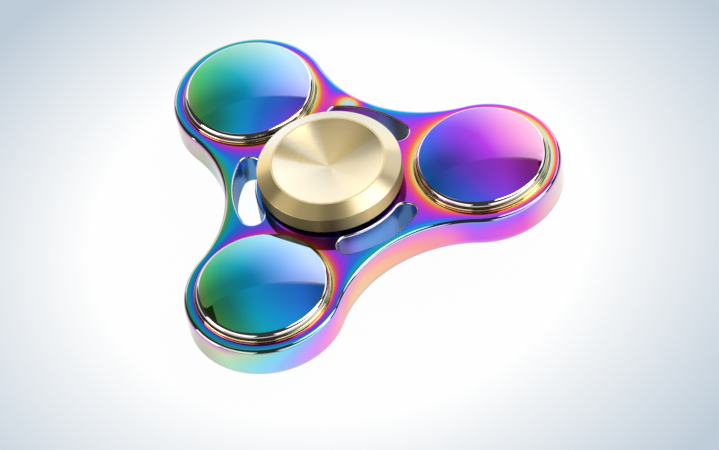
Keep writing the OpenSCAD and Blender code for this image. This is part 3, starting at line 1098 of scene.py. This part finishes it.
# Upward part of the normal on a cap's dish and band, and where its roughness changes
DISH_FACING = (0.90, 0.94)
BAND_FACING = (0.5, 0.3)
ROUGH_FACING = (0.3, 0.7)
# Part of the marks' noise that shows as a change of colour
MARK_RANGE = (0.3, 0.7)
QUARTER_TURN = 0.25


def fans(wires, turn, paleness_at):
    """Painted highlight fans of a spun face, as paleness from its values by angle in degrees."""
    return wires.ramp(turn, [degrees / 360 for degrees in paleness_at],
                      [(pale, pale, pale) for pale in paleness_at.values()])


def gold_material(dish_r):
    """Champagne gold turned on a lathe, with real anisotropic shine and the painted highlight fans
    of a spun finish.
    """
    metals = settings("metals")
    material, wires, shader, where = new_metal("spun_gold")
    place = where["Object"]
    rings = lathe_rings(wires, where)
    up = wires.math("ABSOLUTE", wires.upward(where["Normal"]))
    on_dish = wires.span(up, *DISH_FACING)
    turn = wires.math("ARCTAN2", wires.along(place, across_sweep()),
                      wires.along(place, settings("film").sweep))
    turn = wires.math("FRACT", wires.over(turn, FULL_TURN))
    radius = wires.vector("LENGTH", wires.vector("MULTIPLY", place, LEVEL))
    on_rim = wires.math("GREATER_THAN", radius, dish_r)
    # Painted highlight fans on the bevel and the dish, and a fixed paleness on the flat rim
    pale = wires.mix(on_dish, fans(wires, turn, BEVEL_FANS),
                     wires.mix(on_rim, fans(wires, turn, DISH_FANS), metals.rim_pale))
    paint = wires.blend(wires.span(rings["Shade"], *MARK_RANGE), rgba(metals.gold_deep),
                        rgba(metals.gold))
    paint = wires.blend(pale, paint, rgba(metals.gold_highlight))
    # Painted shade on the straight band, with painted highlight fans
    band = wires.blend(fans(wires, turn, BAND_FANS), rgba(metals.gold_band_shade), rgba(metals.gold))
    wires.feed(wires.blend(wires.span(up, *BAND_FACING), paint, band), shader["Base Color"])
    rough = wires.span(up, *ROUGH_FACING, metals.band_rough, metals.bevel_rough)
    rough = wires.mix(on_dish, rough, metals.dish_rough)
    wires.feed(wires.total(rough, (rings["Shade"], -metals.line_gloss)), shader["Roughness"])
    relief(wires, shader, rings["Height"], RING_STRENGTH, RING_DEPTH)
    shader["Anisotropic"].default_value = metals.spun
    shader["Anisotropic Rotation"].default_value = QUARTER_TURN
    tangent = wires.node("ShaderNodeTangent", direction_type="RADIAL", axis="Z")
    wires.feed(tangent.outputs[0], shader["Tangent"])
    return material


# Pits of the pressed and lapped metals to a metre, how fine they are and how dark the marks are
PITS = 900
PIT_DETAIL = 4
MARK_DARK = 0.7


def steel_material(slot, base, smooth, rough, ringed):
    """Bearing metal, ground or pressed, with the marks of its making."""
    material, wires, shader, where = new_metal(slot)
    if ringed:
        marks = lathe_rings(wires, where)["Shade"]
    else:
        marks = wires.noise(where["Object"], PITS, PIT_DETAIL)
    dark = rgba([MARK_DARK * part for part in base])
    wires.feed(wires.blend(wires.span(marks, *MARK_RANGE), dark, rgba(base)), shader["Base Color"])
    polish(wires, shader, where, smooth, rough, FINE_PEEL)
    return material


def dressed(piece, body, slot, material, *nodes):
    """Puts a piece on its body in place of its CAD nodes."""
    piece.data.materials.append(material)
    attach(piece, body)
    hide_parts(*nodes)


def waist(body):
    """Radius of a waist's hollow arc and the distance of its centre from the spin axis."""
    reach = body.neck_r - body.pitch * math.cos(HALF_STEP)
    offset = body.pitch * math.sin(HALF_STEP)
    waist_r = (reach ** 2 + offset ** 2 - body.lobe_r ** 2) / (2 * (body.lobe_r - reach))
    return waist_r, body.neck_r + waist_r


def lobe_outline(body):
    """Outline of the side wall: a long arc round each lobe and a hollow arc at each waist."""
    waist_r, waist_pitch = waist(body)
    half = math.atan2(body.pitch * math.sin(HALF_STEP),
                      waist_pitch - body.pitch * math.cos(HALF_STEP))
    path = []
    for turn, middle in zip(LOBES.values(), WAISTS):
        path.extend(arc(polar(body.pitch, turn), body.lobe_r, turn - HALF_STEP - half,
                        turn + HALF_STEP + half, LOBE_STEPS))
        path.extend(arc(polar(waist_pitch, middle), waist_r, middle + math.pi + half,
                        middle + math.pi - half, WAIST_STEPS, inward=True))
    return path


def slot_outline(body, middle):
    """Outline of an arc slot with round ends, with normals into the slot."""
    mid_r = (body.slot_in_r + body.slot_out_r) / 2
    end_r = (body.slot_out_r - body.slot_in_r) / 2
    first, last = middle - body.slot_span / 2, middle + body.slot_span / 2
    return [
        *arc(CENTRE, body.slot_out_r, first, last, SLOT_STEPS, inward=True),
        *arc(polar(mid_r, last), end_r, last, last + math.pi, SLOT_END_STEPS, inward=True),
        *arc(CENTRE, body.slot_in_r, last, first, SLOT_STEPS),
        *arc(polar(mid_r, first), end_r, first + math.pi, first + FULL_TURN, SLOT_END_STEPS,
             inward=True),
    ]


class SPINNER_OT_body(bpy.types.Operator):
    """Build the plated body with its bosses, slots and bores"""
    bl_idname = "spinner.body"
    bl_label = "Plated body"

    def execute(self, context):
        body = settings("body")
        top = body.face_z
        skin = Skin()

        def both_sides(path, profile):
            rims.append(skin.sweep(path, profile + mirrored(profile)))

        def rounded(radius):
            return list(bend(-radius, top - radius, radius, UP, OUT, EDGE_STEPS))

        rims = []
        both_sides(lobe_outline(body), rounded(body.edge_r))
        for middle in WAISTS:
            both_sides(slot_outline(body, middle), rounded(body.slot_edge))
        boss = [
            *bend(body.boss_r + body.boss_root, top + body.boss_root, -body.boss_root, UP, OUT,
                  ROOT_STEPS),
            *bend(body.boss_r - body.boss_edge, body.seat_z - body.boss_edge, body.boss_edge,
                  OUT, UP, BOSS_STEPS),
            *corner(body.lobe_bore_r, body.seat_z, UP, IN),
        ]
        for turn in LOBES.values():
            both_sides(turning(polar(body.pitch, turn), BORE_STEPS), boss)
        chamfer = [
            (body.hub_bore_r + body.hub_chamfer, top, IN / 2),
            *corner(body.hub_bore_r, top - body.hub_chamfer, IN / 2, IN),
        ]
        both_sides(turning(CENTRE, BORE_STEPS), chamfer)
        skin.fill([rim[0] for rim in rims], (0, 0, 1))
        skin.fill([rim[1] for rim in rims], (0, 0, -1))
        dressed(skin.make("plated_body"), "rotor", "rainbow_plate", plate_material(),
                "spinner_body")
        return {"FINISHED"}


class SPINNER_OT_domes(bpy.types.Operator):
    """Build the six domed weights"""
    bl_idname = "spinner.domes"
    bl_label = "Domed weights"

    def execute(self, context):
        dome = settings("dome")
        bead_z = dome.seat_z + dome.wall_h
        bead_at = dome.flange_r - dome.bead_r
        # The crown's radius follows from its top and the bead that it runs into
        rise = dome.top_z - bead_z
        crown_r = (bead_at ** 2 + rise ** 2 - dome.bead_r ** 2) / (2 * (rise - dome.bead_r))
        tilt = math.asin(bead_at / (crown_r - dome.bead_r))
        material = dome_material(crown_r, tilt)
        profile = [
            *bend(0, dome.top_z - crown_r, crown_r, UP, tilt, CROWN_STEPS),
            *bend(bead_at, bead_z, dome.bead_r, tilt, OUT, BEAD_STEPS),
            *corner(dome.flange_r, dome.seat_z, OUT, DOWN),
            *corner(dome.spigot_r, dome.seat_z, DOWN, OUT),
            *corner(dome.spigot_r, dome.foot_z, OUT, DOWN),
            *corner(dome.hole_r, dome.foot_z, DOWN, IN),
            *corner(dome.hole_r, dome.hole_z, IN, DOWN),
            (0, dome.hole_z, DOWN),
        ]
        for side, way in SIDES.items():
            for lobe, turn in LOBES.items():
                skin = Skin()
                skin.sweep(turning(polar(settings("body").pitch, turn * way),
                                   settings("studio").segments), profile)
                dressed(skin.make(f"{side}_dome_{lobe}", flip=way < 0), "rotor", "rainbow_dome",
                        material, f"{side}_weight_{lobe}")
        return {"FINISHED"}


class SPINNER_OT_caps(bpy.types.Operator):
    """Build the two dished finger caps"""
    bl_idname = "spinner.caps"
    bl_label = "Finger caps"

    def execute(self, context):
        cap = settings("cap")
        under = cap.top_z - cap.bevel_h - cap.band_h
        ridge = cap.top_z - cap.bevel_h
        rim_r = cap.radius - cap.bevel_w
        dish_r = rim_r - cap.rim_w
        material = gold_material(dish_r)
        curve_r = (dish_r ** 2 + cap.dish ** 2) / (2 * cap.dish)
        lean = math.asin(dish_r / curve_r)
        slope = math.atan2(cap.bevel_h, cap.bevel_w)
        # Centre of the ridge's rounding, which touches the bevel and the band
        ridge_at = cap.radius - cap.ridge_round
        ridge_z = ridge + cap.ridge_round * math.tan(slope) - cap.ridge_round / math.cos(slope)
        button = [
            *bend(0, cap.top_z - cap.dish + curve_r, -curve_r, UP, -lean, DISH_STEPS),
            (dish_r, cap.top_z, UP),
            *corner(rim_r, cap.top_z, UP, slope),
            *bend(ridge_at, ridge_z, cap.ridge_round, slope, OUT, RIDGE_STEPS),
            *corner(cap.radius, under + cap.foot, OUT, UNDERCUT),
            *corner(cap.radius - cap.foot, under, UNDERCUT, DOWN),
            *corner(cap.shoulder_r, under, DOWN, OUT),
            *corner(cap.shoulder_r, cap.shoulder_z, OUT, DOWN),
            *corner(cap.spigot_r, cap.shoulder_z, DOWN, OUT),
            *corner(cap.spigot_r, cap.foot_z, OUT, DOWN),
        ]
        tapped = [
            *corner(cap.hole_r, cap.foot_z, DOWN, IN),
            *corner(cap.hole_r, cap.hole_z, IN, DOWN),
            (0, cap.hole_z, DOWN),
        ]
        stud = [
            *corner(cap.stud_r, cap.foot_z, DOWN, OUT),
            *corner(cap.stud_r, -cap.stud_z, OUT, DOWN),
            (0, -cap.stud_z, DOWN),
        ]
        for side, end in (("upper", tapped), ("lower", stud)):
            skin = Skin()
            skin.sweep(turning(CENTRE, settings("studio").segments), button + end)
            dressed(skin.make(f"{side}_cap", flip=side == "lower"), "finger_hub", "spun_gold",
                    material, f"{side}_finger_cap")
        return {"FINISHED"}


class SPINNER_OT_bearing(bpy.types.Operator):
    """Finish the bearing's rings, balls, cage, shields and wires, and the weights' studs"""
    bl_idname = "spinner.bearing"
    bl_label = "Bearing and studs"

    def execute(self, context):
        made = {slot: steel_material(slot, getattr(settings("metals"), metal), *finish)
                for slot, (metal, *finish) in STEELS.items()}
        for part in frame["record"]["subparts"]:
            if part["material_slot"] in made:
                node = frame["nodes"][part["node"]]
                node.data.materials.clear()
                node.data.materials.append(made[part["material_slot"]])
        return {"FINISHED"}


def graded(low, high, start, end):
    """Light of a soft box's side that goes from low to high between two shares of its height."""
    return (start, end, low, high)


def even(strength):
    """Light that is the same over a soft box's height."""
    return graded(strength, strength, 0, 1)


def card_material(name, left, right, over, fade):
    """Light of a soft box, from its left and its right side's light.

    The light goes over from the left to the right side within `over`, in shares of the width. It
    fades towards the right within `fade`, whose third value is the share that is left.
    """
    material = bpy.data.materials.new(name)
    material.use_nodes = True
    wires = Wires(material.node_tree)
    wires.tree.nodes.remove(wires.tree.nodes["Principled BSDF"])
    place = wires.node("ShaderNodeTexCoord").outputs["UV"]
    axes = wires.node("ShaderNodeSeparateXYZ", {0: place}).outputs
    sides = [wires.span(axes["Y"], *side) for side in (left, right)]
    strength = wires.mix(wires.span(axes["X"], *over), *sides)
    fade_from, fade_to, left_over = fade
    strength = wires.times(strength, wires.span(axes["X"], fade_from, fade_to, 1.0, left_over))
    light = wires.node("ShaderNodeEmission", {"Strength": strength})
    wires.feed(light.outputs[0], wires.tree.nodes["Material Output"].inputs["Surface"])
    return material


def facing_card(turn, rise, distance, left, right, below, above):
    """Corners of a card that faces the spinner's middle from a turn and a rise in degrees.

    The four last sizes are measured from the point that the middle looks at.
    """
    turn, rise = math.radians(turn), math.radians(rise)
    out = Vector((math.cos(turn) * math.cos(rise), math.sin(turn) * math.cos(rise), math.sin(rise)))
    across = Vector((math.sin(turn), -math.cos(turn), 0))
    upwards = across.cross(out)
    return [tuple(out * distance + across * x + upwards * y)
            for x, y in ((-left, -below), (right, -below), (right, above), (-left, above))]


def soft_box(name, corners, light, right_light=None, over=(0, 1), fade=(0, 1, 1)):
    """Light card from its lower left, lower right, upper right and upper left corners."""
    mesh = bpy.data.meshes.new(name)
    mesh.from_pydata(corners, [], [(0, 1, 2, 3)])
    layer = mesh.uv_layers.new(name="card")
    for loop, place in zip(layer.data, ((0, 0), (1, 0), (1, 1), (0, 1))):
        loop.uv = place
    mesh.materials.append(card_material(name, light, right_light or light, over, fade))
    card = bpy.data.objects.new(name, mesh)
    card.visible_camera = False
    bpy.context.collection.objects.link(card)


def floor_material(studio):
    """Pale floor: a painted bright pool round the spinner, evenly lit to the camera, clear from
    below.
    """
    material = bpy.data.materials.new("floor")
    material.use_nodes = True
    wires = Wires(material.node_tree)
    nodes = wires.tree.nodes
    place = wires.node("ShaderNodeTexCoord").outputs["Object"]
    reach = wires.vector("LENGTH", wires.vector("MULTIPLY", place, LEVEL))
    # Painted pool of light: white round the spinner, dimmer blue-grey away from it
    paint = wires.blend(wires.span(reach, studio.pool_from, studio.pool_to, shape="LINEAR"),
                        rgba(studio.floor), rgba(studio.floor_far))
    shader = nodes["Principled BSDF"]
    wires.feed(paint, shader.inputs["Base Color"])
    shader.inputs["Roughness"].default_value = studio.floor_rough
    glow = wires.node("ShaderNodeEmission", {"Color": paint, "Strength": 1.0})
    path = wires.node("ShaderNodeLightPath").outputs
    # Mirrored, the floor is darker under the spinner
    under = wires.span(reach, studio.under_from, studio.under_to, studio.under_glow, 1.0)
    mirrored_ray = wires.most(path["Is Glossy Ray"], path["Is Transmission Ray"])
    seen = wires.most(wires.times(path["Is Camera Ray"], studio.floor_glow),
                      wires.times(mirrored_ray, under))
    lit = wires.node("ShaderNodeMixShader", {0: seen, 1: shader.outputs[0], 2: glow.outputs[0]})
    below = wires.node("ShaderNodeNewGeometry").outputs["Backfacing"]
    clear = wires.node("ShaderNodeBsdfTransparent").outputs[0]
    surface = wires.node("ShaderNodeMixShader", {0: below, 1: lit.outputs[0], 2: clear})
    wires.feed(surface.outputs[0], nodes["Material Output"].inputs["Surface"])
    return material


# Width of the camera's sensor in millimetres, and the distances between which it sees in metres
SENSOR_WIDTH = 36
SEEN_FROM = 0.01
SEEN_TO = 10


class SPINNER_OT_stage(bpy.types.Operator):
    """Set the camera, the pale floor, the soft boxes and the room's light"""
    bl_idname = "spinner.stage"
    bl_label = "Studio"

    def execute(self, context):
        studio = settings("studio")
        self.camera(studio)
        self.floor(studio)
        self.room(studio)
        self.soft_boxes()
        bpy.context.scene.view_settings.view_transform = "Standard"
        return {"FINISHED"}

    def camera(self, studio):
        data = bpy.data.cameras.new("camera")
        data.lens = studio.lens
        data.sensor_width = SENSOR_WIDTH
        data.clip_start = SEEN_FROM
        data.clip_end = SEEN_TO
        right, back = Vector(studio.right), -Vector(studio.ahead)
        up = back.cross(right)
        turned = Matrix((right, up, back)).transposed().to_4x4()
        camera = bpy.data.objects.new("camera", data)
        camera.matrix_world = Matrix.Translation(studio.eye) @ turned
        bpy.context.collection.objects.link(camera)
        bpy.context.scene.camera = camera

    def floor(self, studio):
        half = studio.floor_w / 2
        corners = ((-half, -half), (half, -half), (half, half), (-half, half))
        mesh = bpy.data.meshes.new("floor")
        mesh.from_pydata([(x, y, FLOOR_Z) for x, y in corners], [], [(0, 1, 2, 3)])
        mesh.materials.append(floor_material(studio))
        floor = bpy.data.objects.new("floor", mesh)
        bpy.context.collection.objects.link(floor)

    def room(self, studio):
        world = bpy.data.worlds.new("room")
        bpy.context.scene.world = world
        world.use_nodes = True
        wires = Wires(world.node_tree)
        path = wires.node("ShaderNodeLightPath").outputs
        background = wires.tree.nodes["Background"]
        strength = wires.mix(path["Is Camera Ray"], studio.room, 1.0)
        wires.feed(strength, background.inputs["Strength"])
        background.inputs["Color"].default_value = WHITE

    def soft_boxes(self):
        soft_box("back_panel",
                 facing_card(turn=65, rise=0, distance=230 * MM, left=214 * MM, right=247 * MM,
                             below=-FLOOR_Z, above=355 * MM),
                 graded(low=1.32, high=0.42, start=0.2, end=0.8),
                 graded(low=1.2, high=0.9, start=0.6, end=1.0), over=(0.30, 0.64))
        soft_box("top_card",
                 facing_card(turn=65, rise=70, distance=400 * MM, left=185 * MM, right=215 * MM,
                             below=110 * MM, above=112 * MM),
                 graded(low=0.34, high=0.5, start=0.2, end=0.9),
                 graded(low=0.60, high=0.76, start=0.2, end=0.9), over=(0.08, 0.40),
                 fade=(0.66, 0.95, 0.5))
        soft_box("front_left",
                 facing_card(turn=192, rise=19, distance=300 * MM, left=150 * MM, right=150 * MM,
                             below=80 * MM, above=88 * MM), even(1.3))
        soft_box("front_right",
                 facing_card(turn=284, rise=19, distance=300 * MM, left=210 * MM, right=210 * MM,
                             below=80 * MM, above=88 * MM), even(1.3))
        soft_box("right_fill",
                 facing_card(turn=3, rise=37, distance=260 * MM, left=60 * MM, right=64 * MM,
                             below=48 * MM, above=38 * MM), even(1.2))
        soft_box("left_box",
                 facing_card(turn=164, rise=12, distance=220 * MM, left=60 * MM, right=60 * MM,
                             below=54 * MM, above=60 * MM), even(3.0))
        soft_box("right_box",
                 facing_card(turn=330, rise=55, distance=250 * MM, left=30 * MM, right=80 * MM,
                             below=130 * MM, above=115 * MM), even(2.8))


class SPINNER_PT_build(bpy.types.Panel):
    """Lists the steps that build the spinner"""
    bl_idname = "SPINNER_PT_build"
    bl_label = "Fidget spinner"
    bl_space_type = "VIEW_3D"
    bl_region_type = "UI"
    bl_category = "Spinner"

    def draw(self, context):
        for step in STEPS:
            self.layout.operator(step.bl_idname)
        for name in GROUPS:
            group = settings(name)
            box = self.layout.box()
            for key in group.bl_rna.properties.keys():
                if key not in ("rna_type", "name"):
                    box.prop(group, key)


STEPS = (SPINNER_OT_stage, SPINNER_OT_body, SPINNER_OT_domes, SPINNER_OT_caps, SPINNER_OT_bearing)
GROUPS = {
    "body": SpinnerBodySizes,
    "dome": SpinnerDomeSizes,
    "cap": SpinnerCapSizes,
    "film": SpinnerFilm,
    "walls": SpinnerWalls,
    "slots": SpinnerSlots,
    "crowns": SpinnerCrowns,
    "rainbow": SpinnerRainbow,
    "metals": SpinnerMetals,
    "studio": SpinnerStudio,
}


def register():
    for made in (*GROUPS.values(), *STEPS, SPINNER_PT_build):
        bpy.utils.register_class(made)
    for name, group in GROUPS.items():
        setattr(bpy.types.Scene, "spinner_" + name, PointerProperty(type=group))


def unregister():
    for name in GROUPS:
        delattr(bpy.types.Scene, "spinner_" + name)
    for made in (SPINNER_PT_build, *reversed(STEPS), *reversed(GROUPS.values())):
        bpy.utils.unregister_class(made)


def main():
    register()
    bpy.ops.spinner.stage()
    bpy.ops.spinner.body()
    bpy.ops.spinner.domes()
    bpy.ops.spinner.caps()
    bpy.ops.spinner.bearing()


if __name__ == "__main__":
    main()
